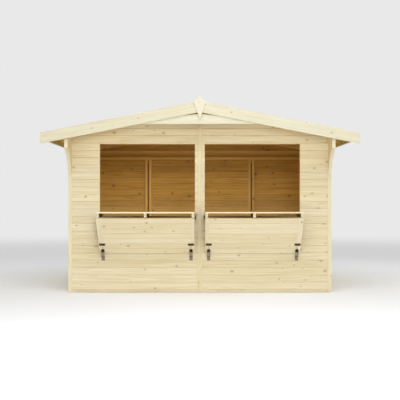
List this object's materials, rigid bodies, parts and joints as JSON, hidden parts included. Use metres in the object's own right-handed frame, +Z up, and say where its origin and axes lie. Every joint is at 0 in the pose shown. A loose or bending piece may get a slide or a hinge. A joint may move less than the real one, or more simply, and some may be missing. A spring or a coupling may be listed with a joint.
{
  "type": "wooden garden bar",
  "caption": "Apex-roofed timber garden bar with serving hatches, lift-up bar tops and fold-out flaps under them.",
  "frame": {"origin": "middle of the wall footprint, on the ground under the middle floor bearer", "axes": "+X to the right seen from the front, +Y to the back, +Z up; the serving front looks along -Y"},
  "size_m": [4.228, 4.221, 2.655],
  "materials": {
    "cladding": "planed untreated softwood boards",
    "trim": "planed untreated softwood",
    "bar_boards": "smooth planed softwood",
    "framing": "sawn and planed softwood",
    "treated_framing": "pressure treated softwood",
    "roof_boards": "planed softwood boards",
    "felt": "mineral roofing felt",
    "black_iron": "black japanned steel",
    "zinc_plate": "zinc plated steel"
  },
  "bodies": {
    "cabin": {"floor_bearers": "treated_framing", "floor_deck": "framing", "front_cladding_left": "cladding", "front_cladding_right": "cladding", "front_posts": "framing", "front_rails": "framing", "cover_strips": "trim", "left_cladding": "cladding", "left_studs": "framing", "left_rails": "framing", "right_cladding": "cladding", "right_studs": "framing", "right_rails": "framing", "back_cladding": "cladding", "back_studs": "framing", "back_rails": "framing", "back_tie_board": "framing", "gable_rails": "framing", "roof_deck_left": "roof_boards", "roof_deck_right": "roof_boards", "roof_felt": "felt", "rafters": "framing", "ridge_beam": "framing", "purlins": "framing", "canopy_beams": "framing", "eaves_fascias": "trim", "front_bargeboards": "trim", "back_bargeboards": "trim", "finials": "trim", "gable_plate": "trim", "corbels": "trim", "turn_buttons": "black_iron", "flap_hinge_straps": "zinc_plate", "sill_hinge_leaves": "zinc_plate", "door_leaf": "cladding", "door_ledges": "framing", "door_ironwork": "black_iron"},
    "flap_left": {"flap_boards_left": "cladding", "flap_stiles_left": "trim", "flap_hinge_leaves_left": "black_iron"},
    "bar_left": {"bar_top_left": "bar_boards", "bar_bearers_left": "bar_boards", "bar_hinge_leaves_left": "zinc_plate"},
    "flap_right": {"flap_boards_right": "cladding", "flap_stiles_right": "trim", "flap_hinge_leaves_right": "black_iron"},
    "bar_right": {"bar_top_right": "bar_boards", "bar_bearers_right": "bar_boards", "bar_hinge_leaves_right": "zinc_plate"}
  },
  "joints": [
    {"name": "flap_left_fold", "type": "hinge", "parent": "cabin", "child": "flap_left", "pos_m": [-0.721, -1.86, 0.566], "axis": [-1, 0, 0], "range_deg": [0, 46]},
    {"name": "bar_left_lift", "type": "hinge", "parent": "cabin", "child": "bar_left", "pos_m": [-0.721, -1.7805, 1.0515], "axis": [-1, 0, 0], "range_deg": [0, 90]},
    {"name": "flap_right_fold", "type": "hinge", "parent": "cabin", "child": "flap_right", "pos_m": [0.721, -1.86, 0.566], "axis": [-1, 0, 0], "range_deg": [0, 46]},
    {"name": "bar_right_lift", "type": "hinge", "parent": "cabin", "child": "bar_right", "pos_m": [0.721, -1.7805, 1.0515], "axis": [-1, 0, 0], "range_deg": [0, 90]}
  ],
  "couplings": [
    {"joint": "bar_left_lift", "follows": "flap_left_fold", "ratio": 1.9565},
    {"joint": "bar_right_lift", "follows": "flap_right_fold", "ratio": 1.9565}
  ]
}
